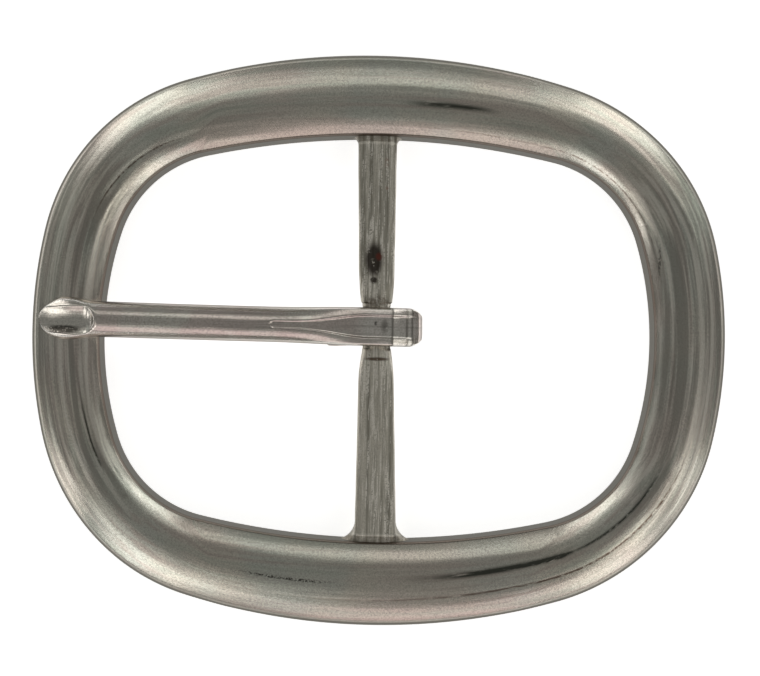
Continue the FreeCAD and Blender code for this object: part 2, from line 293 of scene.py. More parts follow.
def barSection(y):  # half width, half thickness, squareness, distance to the rim's wall, share of full body
    upper = y > bar["neckMiddle"]
    way = 1 if upper else -1
    shoulder = bar["neckMiddle"] + way * bar["neckLength"] / 2
    wall = way * rim["windowHeight"] / 2
    toWall = (wall - y) * way
    fromNeck = (y - shoulder) * way
    shoulderHalf = bar["upperShoulder" if upper else "lowerShoulder"] / 2
    root = bar["upperRoot" if upper else "lowerRoot"]
    length = abs(wall - shoulder)
    pastTaper = min(1.0, max(0.0, (fromNeck - bar["taper"]) / (length - bar["taper"])))
    straight = mixed(bar["waist"], root, pastTaper) / 2
    part = min(1.0, max(0.0, fromNeck / bar["taper"]))
    half = mixed(shoulderHalf, straight, 1 - (1 - part) ** 2.2)
    square = mixed(2.8, 6.5, softStep(0, 1, part))
    step = softStep(-bar["upperLedge" if upper else "lowerLedge"], 0, fromNeck)
    beside = softStep(-0.75, -0.2, fromNeck)  # the neck swells where it leaves the prong's eye
    neck = bar["neckRadius"] + bar["neckFlare"] * beside
    half = mixed(neck, half, step)
    square = mixed(2.0, square, step)
    thick = mixed(neck, bar["halfThickness"] + 0.03, step)
    return half, thick, square, toWall, step


def makeBar():
    low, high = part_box("centre_bar")
    axisHeight = (low.z + high.z) / mm / 2
    yLow = low.y / mm - 0.1
    yHigh = high.y / mm + 0.1
    stations = []
    y = yLow
    neckLow = bar["neckMiddle"] - bar["neckLength"] / 2
    neckHigh = bar["neckMiddle"] + bar["neckLength"] / 2
    while y < yHigh:
        stations.append(y)
        nearNeck = min(abs(y - neckLow), abs(y - neckHigh)) < 0.8
        nearRoot = min(y - yLow, yHigh - y) < 3.2
        y += bar["neckPace"] if nearNeck else (bar["rootPace"] if nearRoot else bar["pace"])
    stations.append(yHigh)
    rings, flows, zones = [], [], []
    count = bar["ringPoints"]
    for y in stations:
        half, thick, square, toWall, step = barSection(y)
        fillet = bar["upperFillet" if y > 0 else "lowerFillet"]
        seam = math.exp(-((toWall - bar["seam"]) / bar["seamWidth"]) ** 2)
        ring, flow, zone = [], [], []
        for number in range(count):
            angle = 2 * math.pi * (number + 0.5) / count
            acrossX = math.copysign(abs(math.cos(angle)) ** (2 / square), math.cos(angle))
            acrossZ = math.copysign(abs(math.sin(angle)) ** (2 / square), math.sin(angle))
            face = max(0.0, acrossZ)
            wallLean = rim["wallInset"] * (axisHeight + thick * acrossZ) / rim["creaseHeight"]
            near = min(fillet, max(0.0, toWall + wallLean))
            flare = fillet - math.sqrt(max(0.0, fillet ** 2 - (fillet - near) ** 2))
            x = half * acrossX + flare * softStep(1.0, 0.0, acrossZ) * acrossX
            z = axisHeight + thick * acrossZ - bar["edgeDrop"] * acrossX ** 2 * face * step
            grooves = ripple(acrossX * 2.2, y * 0.06, 0, 2.2) * bar["grooveDepth"]
            grooves += ripple(acrossX * 6, y * 0.12, 0, 5.2) * bar["fineGroove"]
            grooves += ripple(acrossX * 1.5, y * 0.6, 0, 8.8) * bar["dimple"]
            z += grooves * step * face * (1 - abs(acrossX) ** 4) + seam * bar["seamHeight"] * face
            x += ripple(y * 0.35, acrossZ, 0, 9.4) * bar["sideWave"] * step + bar["lean"] * y + bar["offset"]
            ring.append((x, y, z))
            flow.append((x, y * 0.08, z))
            # where the bar's end meets the rim, painted brown as a reflection
            root = softStep(bar["seam"] - 0.02, bar["seam"] - 0.25, toWall)
            # the bar's sides, painted darker as shade
            edge = max(0, abs(acrossX) - 0.72) * 3.5 * step
            zone.append((root, edge, seam * face))
        rings.append(ring)
        flows.append(flow)
        zones.append(zone)
    return faceOutward(gridPiece("CentreBar", rings, flows, zones, False))


# the prong is one strip, from the tip along the blade, over the neck, round its end and back under the blade
prong = {
    "bladeWidth": 3.53, "bladeThickness": 1.65, "sideHeight": 0.95, "sideInset": 0.35,
    "tipSetback": 1.62, "tipWidth": 4.2, "flareStart": -27.9, "flareEnd": -30.4, "restGap": 0.08,
    "tipThickness": 1.2, "tipSideHeight": 0.75, "thinStart": -28.5, "thinEnd": -33.0,
    "upperCorner": -31.2, "lowerCorner": -30.7,  # where the nose starts on each side
    "upperBlunt": 1.25, "lowerBlunt": 2.0,  # 1 is a straight slope to the nose, 2 a round one
    "noseWidth": 1.1,
    "scoopRadius": 2.45, "scoopFloor": 0.62, "scoopCentre": -29.1, "scoopEnd": 1.7, "scoopShift": -0.35,
    "eyeWidth": 3.85, "eyeThickness": 1.26, "eyeSideHeight": 0.98, "eyeInset": 0.22,
    "grooveDepth": 0.42, "grooveStart": 0.15, "grooveWidth": 2.0, "railSlope": 1.3,
    "pressLength": 11.0, "openLength": 9.0, "flatLength": 1.0,  # where pressing starts, opens and is full
    "endThickness": 0.85, "underThickness": 0.65, "eyeCorner": 0.9,
    "flats": (0, 0.04, 0.20, 0.265, 0.37, 0.55, 0.78, 1),  # the hammered flats round the bent end
    "flatDepth": 1.15, "seenFlats": slice(1, 4),  # the bends between flats that show from the front, painted dark as shade
    "legLength": 5.2, "legWidth": 3.6, "legShift": -0.2, "legLean": 20.0, "legBend": 1.0,
    "slotRadius": 1.43, "bendStart": 1.15,
    "lean": -0.0087, "bow": 0.05, "waveHeight": 0.035,
    "crownPoints": 44, "baseSteps": 9,
    "tipSteps": 44, "bladeSteps": 170, "bendSteps": 72,
}
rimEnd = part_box("frame_ring")[1].x / mm
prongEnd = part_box("prong")[1].x / mm


def turned(heading, angle):
    return Vector((heading.x * math.cos(angle) - heading.y * math.sin(angle),
                   heading.x * math.sin(angle) + heading.y * math.cos(angle)))


def arcStations(centre, radius, startAngle, endAngle, steps, stage):
    stations = []
    for number in range(steps):
        way = turned(Vector((1, 0)), math.radians(mixed(startAngle, endAngle, number / steps)))
        stations.append((centre + radius * way, way, stage, number / steps))
    return stations


def lineStations(start, finish, away, steps, stage):
    return [(start.lerp(finish, number / steps), away, stage, number / steps) for number in range(steps)]


# the strip's neck side, station by station: place in the XZ plane, direction away from the neck, stage and
# how far through the stage it is
def prongStations(axisHeight):
    radius = prong["slotRadius"]
    slotTop = axisHeight + radius
    rail = rimEnd - rim["windowLength"] / 2
    reach = rail / 2 + rim["crestLean"] - rim["wallInset"]
    rise = rim["thickness"] - rim["creaseHeight"]
    dome = (reach ** 2 + rise ** 2) / (2 * rise)
    centre = Vector((-(rim["windowLength"] + rail) / 2 + rim["crestLean"], rim["thickness"] - dome))
    over = dome + prong["restGap"]
    start = Vector((0, slotTop))
    slope = math.asin(over / (centre - start).length) - math.atan2(slotTop - centre.y, -centre.x)
    tipTurn = math.asin((centre.x + rimEnd - prong["tipSetback"]) / over)
    leave = centre + over * Vector((math.sin(slope), math.cos(slope)))
    up = Vector((math.sin(slope), math.cos(slope)))
    bendReach = prongEnd - prong["endThickness"] - prong["bendStart"]
    tipAngle = 90 + math.degrees(tipTurn)
    stations = arcStations(centre, over, tipAngle, 90 - math.degrees(slope), prong["tipSteps"], "blade")
    stations += lineStations(leave, start, up, prong["bladeSteps"], "blade")
    toBend = Vector((prong["bendStart"], 0))
    stations += lineStations(start, start + toBend, Vector((0, 1)), 10, "eye")
    for number in range(prong["bendSteps"]):  # the bent end, an oval
        share = number / prong["bendSteps"]
        angle = math.radians(90 - 180 * share)
        reach = Vector((bendReach * math.cos(angle), radius * math.sin(angle)))
        away = Vector((math.cos(angle) / bendReach, math.sin(angle) / radius)).normalized()
        stations.append((Vector((0, axisHeight)) + toBend + reach, away, "end", share))
    foot = Vector((0, axisHeight - radius))
    stations += lineStations(foot + toBend, foot, Vector((0, -1)), 8, "under")
    lastAngle = -180 + prong["legLean"]
    stations += arcStations(Vector((0, axisHeight)), radius, -90, lastAngle, 20, "under")
    away = turned(Vector((1, 0)), math.radians(lastAngle))
    heading = turned(away, -math.pi / 2)
    foot = Vector((0, axisHeight)) + radius * away
    goal = Vector((-math.cos(slope), math.sin(slope)))
    turn = heading.angle_signed(goal) * -1
    ceiling = slotTop + math.tan(slope) * 2 - 0.03  # just under the blade
    corner = foot + heading * (ceiling - foot.y) / heading.y
    tangent = prong["legBend"] * math.tan(turn / 2)
    bendStart = corner - heading * tangent
    stations += lineStations(foot, bendStart, away, 6, "under")
    bendCentre = bendStart + away * prong["legBend"]
    for number in range(12):
        way = turned(away, turn * number / 12)
        stations.append((bendCentre - way * prong["legBend"], way, "leg", 0))
    away = turned(away, turn)
    legStart = bendCentre - away * prong["legBend"]
    legEnd = legStart + goal * (legStart.x + prong["legLength"])
    stations += lineStations(legStart, legEnd, away, 14, "leg")
    stations.append((legEnd, away, "leg", 1))
    return stations


def bladeHalf(x):
    flare = softStep(prong["flareStart"], prong["flareEnd"], x)
    press = softStep(-prong["pressLength"], -prong["flatLength"], x)
    return mixed(mixed(prong["bladeWidth"], prong["tipWidth"], flare), prong["eyeWidth"], press) / 2


def bladeOutline(x):  # half widths towards +Y and -Y
    half = bladeHalf(x)
    tipX = prong["tipSetback"] - rimEnd
    halves = []
    nose = prong["noseWidth"] / 2
    for side in ("upper", "lower"):
        corner = prong[side + "Corner"]
        blunt = prong[side + "Blunt"]
        part = min(1.0, max(0.0, (corner - x) / (corner - tipX)))
        end = nose * math.sqrt(max(0.0, 1 - part ** 24))
        halves.append(max(0.05, (half - nose) * (1 - part ** blunt) ** (1 / blunt) + end))
    return halves


def pressed(x):  # how far the blade is pressed flat here
    return softStep(-prong["openLength"], -prong["flatLength"], x)


def grooveFloor(x, across):  # the pressed groove: a narrow slot that opens like a flame towards the eye
    opening = softStep(-0.5 - prong["openLength"], -prong["flatLength"], x) ** 1.6
    start = softStep(-prong["pressLength"], 0.7 - prong["pressLength"], x)
    half = mixed(0.3 * start, prong["grooveWidth"] / 2, opening)
    depth = mixed(prong["grooveStart"] * start, prong["grooveDepth"], pressed(x))
    past = max(0.0, abs(across) - half)
    return past * prong["railSlope"] - depth + 0.04 * across ** 2


def bladeTop(x, across):  # height of the blade's front above its underside
    press = pressed(x)
    thin = softStep(prong["thinStart"], prong["thinEnd"], x)
    side = mixed(mixed(prong["sideHeight"], prong["tipSideHeight"], thin), prong["eyeSideHeight"], press)
    top = mixed(mixed(prong["bladeThickness"], prong["eyeThickness"], press), prong["tipThickness"], thin)
    chord = bladeHalf(x) - mixed(prong["sideInset"], prong["eyeInset"], press)
    rise = max(0.05, top - side)
    radius = (chord ** 2 + rise ** 2) / (2 * rise)
    height = top - radius + math.sqrt(max(0.01, radius ** 2 - across ** 2))
    if x > -prong["pressLength"]:
        height = softMin(height, top + grooveFloor(x, across), 0.09)
    off = across - prong["scoopShift"]
    beyond = max(0.0, x - prong["scoopCentre"]) * prong["scoopEnd"]
    inside = prong["scoopRadius"] ** 2 - off ** 2 - beyond ** 2
    if inside > 0:
        scoop = prong["scoopFloor"] + prong["scoopRadius"] - math.sqrt(inside)
        height = softMin(height, scoop + 0.06 * thin, 0.07)
    return height


def stripTop(stage, share, across):  # height of the strip's outer face round the eye and along the leg
    if stage == "eye":
        return bladeTop(0.0, across)
    thick = prong["underThickness"]
    if stage == "end":
        thick = mixed(prong["endThickness"] + 0.06, prong["underThickness"], max(0, share * 2 - 1))
    height = thick - 0.12 * (abs(across) / (prong["eyeWidth"] / 2)) ** 5
    if stage == "end" and share < 0.5:
        height = mixed(bladeTop(0.0, across), height, softStep(0.05, 0.42, share))
    return height


def prongRing(stage, share, x):  # (across, up, wall, edge) round the section, starting on the neck side
    shift = 0.0
    inset = 0.18
    if stage == "blade":
        halves = bladeOutline(x)
        inset = mixed(prong["sideInset"], 0.18, softStep(-prong["pressLength"], -prong["flatLength"], x))
    else:
        half = prong["eyeWidth"] / 2
        if stage == "end":
            corner = prong["eyeCorner"]
            front = x + prong["endThickness"] * math.sin(math.pi * share)
            into = min(corner, max(0.0, front - (prongEnd - corner)))
            half -= 0.85 * (corner - math.sqrt(corner ** 2 - into ** 2))
        if stage == "leg":
            along = min(1, share * 2)
            half = mixed(half, prong["legWidth"] / 2, along) - 0.5 * softStep(0.8, 1, share) ** 2
            shift = prong["legShift"] * along
        halves = [half, half]

    def top(across):
        return bladeTop(x, across) if stage == "blade" else stripTop(stage, share, across)

    sides = []
    for sign, half in ((1, halves[0]), (-1, halves[1])):
        slant = min(inset, half * 0.4)
        shoulder = top(sign * (half - slant))
        foot = min(0.1, half * 0.3)
        side = [(half - foot, 0.0, 0, 0), (half - foot * 0.3, foot * 0.3, 0.5, 1), (half, foot, 1, 0.5)]
        for part in (0.25, 0.5, 0.72, 0.87, 0.95):
            side.append((half - slant * part ** 2.4, mixed(foot, shoulder, part), 1 - part ** 3, part ** 8))
        sides.append([(sign * across, up, wall, edge) for across, up, wall, edge in side])
    count = prong["crownPoints"]
    crown = []
    right = halves[0] - min(inset, halves[0] * 0.4)
    left = -halves[1] + min(inset, halves[1] * 0.4)
    for number in range(count + 1):
        across = mixed(right, left, number / count)
        crown.append((across, top(across), 0, softStep(0.9, 1.0, abs(2 * number / count - 1))))
    steps = prong["baseSteps"]
    first, last = sides[1][0][0], sides[0][0][0]
    bottom = [(mixed(first, last, number / steps), 0.0, 0, 0) for number in range(1, steps)]
    ring = sides[0] + crown + list(reversed(sides[1])) + bottom
    return [(across + shift, up, wall, edge) for across, up, wall, edge in ring]


def flatCut(share):  # how far the hammered flats lie under the round of the bent end
    flats = prong["flats"]
    for first, last in zip(flats, flats[1:]):
        if first <= share <= last:
            part = (share - first) / (last - first)
            depth = 2.5 * (1 - math.cos((last - first) * math.pi / 2))
            return prong["flatDepth"] * depth * (1 - (2 * part - 1) ** 2)
    return 0.0


def makeProng():
    joint = frame["joints"][0]
    axisHeight = joint["pos_m"][2] / mm
    middle = joint["pos_m"][1] / mm
    rings, flows, zones = [], [], []
    travel = 0.0
    before = None
    for place, away, stage, share in prongStations(axisHeight):
        travel += (place - before).length if before else 0
        before = place
        ring, flow, zone = [], [], []
        for across, up, wall, edge in prongRing(stage, share, place.x):
            if stage == "end":
                up -= flatCut(share) * min(1, up / 0.8)
            wave = prong["waveHeight"] * ripple(place.x * 0.28, across * 0.5, travel * 0.1, 6.3)
            spot = place + away * (up + wave * min(1, up))
            sway = prong["bow"] * math.sin(spot.x * 0.11 + 0.4) + prong["lean"] * (spot.x + 2.0)
            ring.append((spot.x, middle + across + sway, spot.y))
            flow.append((across, travel * 0.12, up))
            between = 0.0
            if stage == "end":
                wall = max(wall, softStep(0.36, 0.5, share))
                toBend = min(abs(share - flat) for flat in prong["flats"][prong["seenFlats"]])
                between = 1 - softStep(0.0, 0.02, toBend)
            zone.append((wall, edge, between))
        rings.append(ring)
        flows.append(flow)
        zones.append(zone)
    return faceOutward(gridPiece("Prong", rings, flows, zones, False))


class Value:  # wraps a socket, so that sums can be written with it
    def __init__(self, shade, socket):
        self.shade = shade
        self.socket = socket

    def maths(self, operation, *values):
        inputs = {index: value for index, value in enumerate(values)}
        return self.shade.node("ShaderNodeMath", {"operation": operation}, inputs)

    def __add__(self, other):
        return self.maths("ADD", self, other)

    def __sub__(self, other):
        return self.maths("SUBTRACT", self, other)

    def __rsub__(self, other):
        return self.maths("SUBTRACT", other, self)

    def __mul__(self, other):
        return self.maths("MULTIPLY", self, other)

    def __truediv__(self, other):
        return self.maths("DIVIDE", self, other)

    def __rtruediv__(self, other):
        return self.maths("DIVIDE", other, self)

    __radd__ = __add__
    __rmul__ = __mul__

    def least(self, other):
        return self.maths("MINIMUM", self, other)

    def most(self, other):
        return self.maths("MAXIMUM", self, other)

    def size(self):
        return self.maths("ABSOLUTE", self)

    def between(self, low, high):  # 0 at low, 1 at high, smooth
        return self.shade.node("ShaderNodeMapRange", {"interpolation_type": "SMOOTHSTEP"},
                               {"Value": self, "From Min": low, "From Max": high})


class Shade:  # one material and the ways to add nodes to it
    def __init__(self, name):
        self.material = bpy.data.materials.new(name)
        self.material.use_nodes = True
        self.tree = self.material.node_tree
        self.tree.nodes.clear()

    def node(self, kind, settings=None, values=None, output=0):  # settings first, then values or links
        made = self.tree.nodes.new(kind)
        for key, setting in (settings or {}).items():
            if key == "stops":
                for element, (position, colour) in zip(made.color_ramp.elements, setting):
                    element.position = position
                    element.color = (*colour, 1)
            else:
                setattr(made, key, setting)
        for key, value in (values or {}).items():
            if isinstance(value, Value):
                self.tree.links.new(value.socket, made.inputs[key])
            else:
                made.inputs[key].default_value = value
        return Value(self, made.outputs[output]) if len(made.outputs) else None

    def split(self, vector):
        parts = self.node("ShaderNodeSeparateXYZ", None, {"Vector": vector}).socket.node
        return [Value(self, parts.outputs[index]) for index in range(3)]

    def place(self):  # object coordinates in millimetres
        raw = self.node("ShaderNodeTexCoord", None, None, 3)
        return self.node("ShaderNodeVectorMath", {"operation": "SCALE"}, {0: raw, "Scale": 1000.0})

    def layer(self, name):  # what the mesh carries under this name
        return self.node("ShaderNodeAttribute", {"attribute_name": name}, None, 1)

    def noise(self, vector, scale, detail=2.0, roughness=0.5):
        return self.node("ShaderNodeTexNoise", None, {"Vector": vector, "Scale": scale, "Detail": detail,
                                                      "Roughness": roughness})

    def stretched(self, vector, stretch):
        return self.node("ShaderNodeVectorMath", {"operation": "MULTIPLY"}, {0: vector, 1: stretch})

    def patterns(self, place, flow, finish):  # the clouds and streaks that a finish lists, by name
        made = {name: self.noise(place, *cloud) for name, cloud in finish["clouds"].items()}
        for name, (stretch, detail, roughness) in finish["streaks"].items():
            made[name] = self.noise(self.stretched(flow, stretch), 1.0, detail, roughness)
        return made

    def blend(self, share, first, second):
        return self.node("ShaderNodeMix", {"data_type": "RGBA"}, {0: share, 6: first, 7: second}, 2)

    def spot(self, vector, centre, reach, edge):  # 1 inside a soft blot; reach is its half size each way
        away = self.node("ShaderNodeVectorMath", {"operation": "SUBTRACT"}, {0: vector, 1: centre})
        scaled = self.stretched(away, [1 / half for half in reach])
        far = self.node("ShaderNodeVectorMath", {"operation": "LENGTH"}, {0: scaled}, 1)
        return far.between(1.0, edge)

    # a blot that a pattern breaks up
    def frayed(self, place, patterns, centre, reach, edge, name, low, high):
        return self.spot(place, centre, reach, edge) * patterns[name].between(low, high)

    def finish(self, colour, roughness, height, strength):
        bump = self.node("ShaderNodeBump", None, {"Height": height, "Strength": strength, "Distance": mm})
        edgeTint = (0.6, 0.6, 0.6, 1)  # plating turns less white at its edges than bare metal
        metal = self.node("ShaderNodeBsdfPrincipled", None, {
            "Base Color": colour, "Roughness": roughness, "Metallic": 1.0, "Normal": bump,
            "Specular Tint": edgeTint})
        self.node("ShaderNodeOutputMaterial", None, {"Surface": metal})
        return self.material


# in each finish a cloud is scale, detail and roughness, and a streak the scale each way of the flow, detail
# and roughness; a blot is its place, its half sizes, how far out it is full, and the pattern that breaks it
# up, with where that starts and where it is full
rimFinish = {
    "metal": (0.73, 0.69, 0.60, 1), "warm": (0.71, 0.63, 0.575, 1), "cool": (0.64, 0.655, 0.59, 1),
    "brownish": (0.58, 0.50, 0.45, 1), "greenish": (0.54, 0.58, 0.50, 1), "light": (0.86, 0.82, 0.74, 1),
    # wall is painted shade for the walls and underside
    "dull": (0.27, 0.255, 0.225, 1), "wall": (0.150, 0.142, 0.120, 1), "black": (0.060, 0.063, 0.052, 1),
    # crease is dark brown for the inner crease, partly dirt and partly painted shade
    "brown": (0.15, 0.105, 0.08, 1), "crease": (0.085, 0.062, 0.048, 1), "pit": (0.035, 0.025, 0.018, 1),
    "roughness": 0.17, "grain": 0.10, "bump": 0.038,
    "clouds": {"broad": (0.09, 3), "tint": (0.14, 2), "grain": (5.2, 4, 0.75), "fine": (11.0, 2, 0.6)},
    "streaks": {
        "streak": ((0.22, 0.22, 2.6), 3, 0.6), "band": ((0.10, 0.10, 1.15), 2, 0.5),
        "ragged": ((1.2, 1.2, 4.0), 3, 0.65), "lane": ((0.05, 0.07, 1.5), 3, 0.6),
    },
    # one colour over another: pattern, where it starts and where it is full, strength, colour
    "layers": [
        ("tint", 0.35, 0.65, 1.0, "metal"),
        ("broad", 0.45, 0.72, 0.8, "warm"),
        ("band", 0.5, 0.66, 0.6, "brownish"),
        ("band", 0.48, 0.32, 0.5, "greenish"),
        ("grain", 0.42, 0.66, 0.42, "dull"),
        ("fine", 0.45, 0.7, 0.35, "dull"),
        ("streak", 0.5, 0.75, 0.3, "dull"),
    ],
    # the same, on the two upright rails only
    "railLayers": [("lane", 0.46, 0.60, 0.6, "dull"), ("lane", 0.50, 0.38, 0.6, "light")],
    "railStart": 16.0, "railFull": 28.0,
    # dark lines along the rail: bearings, share across at each end, bend between, half width, strength
    "stainsAndReflectionLines": [
        (271, 294, 0.555, 0.60, 0.01, 0.062, 1.25),
        # painted reflection of the dark camera, along the crest
        (275, 352, 0.575, 0.575, 0.035, 0.036, 1.0),
        (184, 214, 0.67, 0.70, 0.01, 0.026, 1.0),
        (80, 89, 0.57, 0.60, 0.0, 0.065, 1.0),
        (8, 38, 0.32, 0.38, 0.0, 0.050, 0.7),
    ],
    "lines": [
        (255, 356, 0.29, 0.33, 0.065, 0.022, 1.3),
        (104, 166, 0.765, 0.64, -0.02, 0.018, 1.1),
        (3, 98, 0.835, 0.85, 0.03, 0.016, 0.8),
    ],
    "pits": (259, 267.5, 0.50, 0.51, 0.0, 0.024, 1.6),
    "nick": ((27.85, 8.2, 4.6), (0.17, 2.1, 1.4), 0.3, "grain", 0.44, 0.54),
    "dent": ((-24.65, -16.1, 4.6), (0.55, 0.38, 1.4), 0.1),
}


def railLine(shade, bearing, share, waver, line):
    first, last, startShare, endShare, bend, half, strength = line
    part = (bearing - first) / (last - first)
    centre = part * (endShare - startShare) + startShare + part * (1 - part) * (4 * bend)
    away = (share - centre + (waver - 0.5) * 0.02).size()
    return away.between(half, 0) * part.between(0, 0.35) * part.between(1, 0.65) * strength


def railLines(shade, bearing, share, waver, lines):
    total = 0
    for line in lines:
        total = railLine(shade, bearing, share, waver, line) + total
    return total


def rimMaterial():
    finish = rimFinish
    shade = Shade("satin nickel rim")
    place = shade.place()
    flow = shade.layer("flow")
    alongX, alongY = shade.split(flow)[:2]
    wall, edge, share = shade.split(shade.layer("zone"))
    turn = alongY.maths("ARCTAN2", alongY / rim["flowHeight"], alongX / rim["flowLength"])
    whole = turn * math.degrees(1) + 360
    bearing = whole.maths("MODULO", whole, 360.0)
    patterns = shade.patterns(place, flow, finish)
    grain, streak, ragged = patterns["grain"], patterns["streak"], patterns["ragged"]

    colour = finish["cool"]
    for name, low, high, strength, tone in finish["layers"]:
        colour = shade.blend(patterns[name].between(low, high) * strength, colour, finish[tone])
    sides = alongX.size().between(finish["railStart"], finish["railFull"])
    for name, low, high, strength, tone in finish["railLayers"]:
        colour = shade.blend(patterns[name].between(low, high) * sides * strength, colour, finish[tone])

    # dark stains, and along the crest a painted reflection of the camera
    stainAndReflectionMask = railLines(shade, bearing, share, ragged, finish["stainsAndReflectionLines"])
    colour = shade.blend((stainAndReflectionMask * ragged.between(0.2, 0.5)).least(1), colour, finish["black"])
    lines = railLines(shade, bearing, share, ragged, finish["lines"])
    colour = shade.blend((lines * ragged.between(0.3, 0.6)).least(1), colour, finish["brown"])
    pitted = railLine(shade, bearing, share, ragged, finish["pits"]) * grain.between(0.46, 0.54)
    pitted = pitted.most(shade.frayed(place, patterns, *finish["nick"])).least(1)
    dent = shade.spot(place, *finish["dent"])
    colour = shade.blend(pitted * 0.9, colour, finish["pit"])
    colour = shade.blend(dent * 0.35, colour, finish["dull"])
    # painted shade: walls and underside darkened, standing in for the shaded floor they reflect
    colour = shade.blend(wall, colour, finish["wall"])
    # dark brown along the inner crease: partly dirt, partly painted shade over the crease's highlight
    colour = shade.blend(edge.between(0.12, 0.7) * 0.85, colour, finish["crease"])

    roughness = grain * finish["grain"] + finish["roughness"] + streak * 0.05 + wall * 0.2 + stainAndReflectionMask * 0.15
    height = grain * 0.7 + streak * 0.3 - stainAndReflectionMask * 0.4 - pitted * 1.5 - dent * 2
    return shade.finish(colour, roughness, height, finish["bump"])


barFinish = {
    # light is painted highlight, for the glints and the cast line
    "metal": (0.63, 0.60, 0.525, 1), "dull": (0.30, 0.285, 0.24, 1), "light": (1.0, 0.96, 0.88, 1),
    # brown is for stains and for painted reflection at the bar's roots
    "brown": (0.11, 0.075, 0.05, 1), "black": (0.030, 0.024, 0.019, 1), "red": (0.13, 0.035, 0.025, 1),
    "rust": (0.32, 0.17, 0.12, 1),
    "roughness": 0.34, "bump": 0.06,
    "clouds": {"grain": (6.5, 3, 0.65), "ragged": (2.2, 4, 0.75), "patchy": (1.5, 4, 0.7)},
    "streaks": {"streak": ((1.7, 0.5, 0.6), 4, 0.6), "fine": ((6.0, 3.5, 1.0), 3, 0.6)},
    # the black stain, its tail and the red at its middle
    "blot": ((-0.45, 7.9, 3.6), (1.2, 2.4, 1.4), 0.45, "patchy", 0.33, 0.45),
    "tail": ((-0.43, 5.85, 3.6), (0.5, 0.5, 1.2), 0.4, "ragged", 0.28, 0.45),
    "middle": ((0.05, 8.2, 3.6), (0.5, 0.55, 1.2), 0.3),
    # other blots, with strength and colour
    "blots": [
        ((0.32, 4.7, 3.6), (0.4, 0.6, 1.2), 0.2, "fine", 0.5, 0.62, 0.7, "brown"),
        ((0.62, 17.5, 3.6), (0.35, 0.8, 1.2), 0.2, "ragged", 0.42, 0.58, 0.55, "rust"),
        ((0.68, 15.0, 3.6), (0.25, 0.35, 1.2), 0.2, "ragged", 0.42, 0.58, 0.55, "rust"),
        ((0.0, 3.7, 3.5), (1.7, 0.9, 1.4), 0.2, "ragged", 0.35, 0.6, 0.7, "brown"),
        ((0.05, -2.0, 3.4), (1.6, 0.26, 1.2), 0.4, "ragged", 0.3, 0.45, 0.9, "brown"),
    ],
}


def barMaterial():
    finish = barFinish
    shade = Shade("tarnished nickel bar")
    place = shade.place()
    root, edge, seam = shade.split(shade.layer("zone"))
    patterns = shade.patterns(place, shade.layer("flow"), finish)
    grain, streak, fine = patterns["grain"], patterns["streak"], patterns["fine"]

    colour = shade.blend(streak.between(0.36, 0.6), finish["dull"], finish["metal"])
    # painted glints: fine bright specks
    paintedGlints = fine.between(0.49, 0.58) * grain.between(0.40, 0.52)
    colour = shade.blend(paintedGlints.least(1), colour, finish["light"])
    colour = shade.blend(grain.between(0.4, 0.66) * 0.4, colour, finish["dull"])
    # painted shade: the bar's steep sides darkened
    colour = shade.blend(edge.least(1) * 0.45, colour, finish["dull"])

    tail = shade.frayed(place, patterns, *finish["tail"])
    stain = shade.frayed(place, patterns, *finish["blot"]).most(tail)
    colour = shade.blend(stain * 0.95, colour, finish["black"])
    colour = shade.blend(shade.spot(place, *finish["middle"]) * stain * 0.8, colour, finish["red"])
    # painted reflection: brown where the bar's end slopes up into the rim, for the dark horizon it reflects
    colour = shade.blend(root * patterns["ragged"].between(0.25, 0.6) * 0.45, colour, finish["brown"])
    for *blot, strength, tone in finish["blots"]:
        colour = shade.blend(shade.frayed(place, patterns, *blot) * strength, colour, finish[tone])
    # painted highlight along the cast line at each end
    colour = shade.blend(seam * 0.3, colour, finish["light"])

    roughness = finish["roughness"] + grain * 0.1 + stain * 0.2 + streak * 0.05
    height = grain * 0.5 + streak * 1.2 + fine * 0.5 - stain * 0.3
    return shade.finish(colour, roughness, height, finish["bump"])


prongFinish = {
    # bright is painted highlight, for the eye and the edges
    "metal": (0.72, 0.695, 0.635, 1), "warm": (0.69, 0.615, 0.575, 1), "dull": (0.30, 0.275, 0.25, 1),
    # shade is for the tarnish blot and for painted shade between the flats
    "black": (0.03, 0.025, 0.02, 1), "bright": (0.93, 0.91, 0.86, 1), "shade": (0.13, 0.12, 0.10, 1),
    "roughness": 0.14, "bump": 0.04,
    "clouds": {"grain": (6.0, 3, 0.6), "tint": (0.25, 2), "ragged": (1.1, 3, 0.6)},
    "streaks": {"streak": ((3.5, 0.8, 1.5), 3, 0.55)},
    "eye": ((1.2, 1.2, 4.2), (4.2, 2.4, 2.6), 0.5),  # painted highlight on the flat eye
    # blots with strength and colour: on the eye's front, then a painted shade line along the dish
    "blots": [
        ((0.75, 1.3, 4.9), (0.65, 1.1, 1.2), 0.2, "ragged", 0.35, 0.55, 0.75, "shade"),
        # painted shade: a dark line along the dish's lower edge, for the dark band it reflects
        ((-31.0, 0.32, 5.8), (2.4, 0.5, 2.4), 0.5, "grain", 0.28, 0.45, 0.9, "black"),
    ],
    "pit": ((-0.15, 1.55, 4.9), (0.24, 0.34, 0.9), 0.4, "grain", 0.3, 0.45),
}


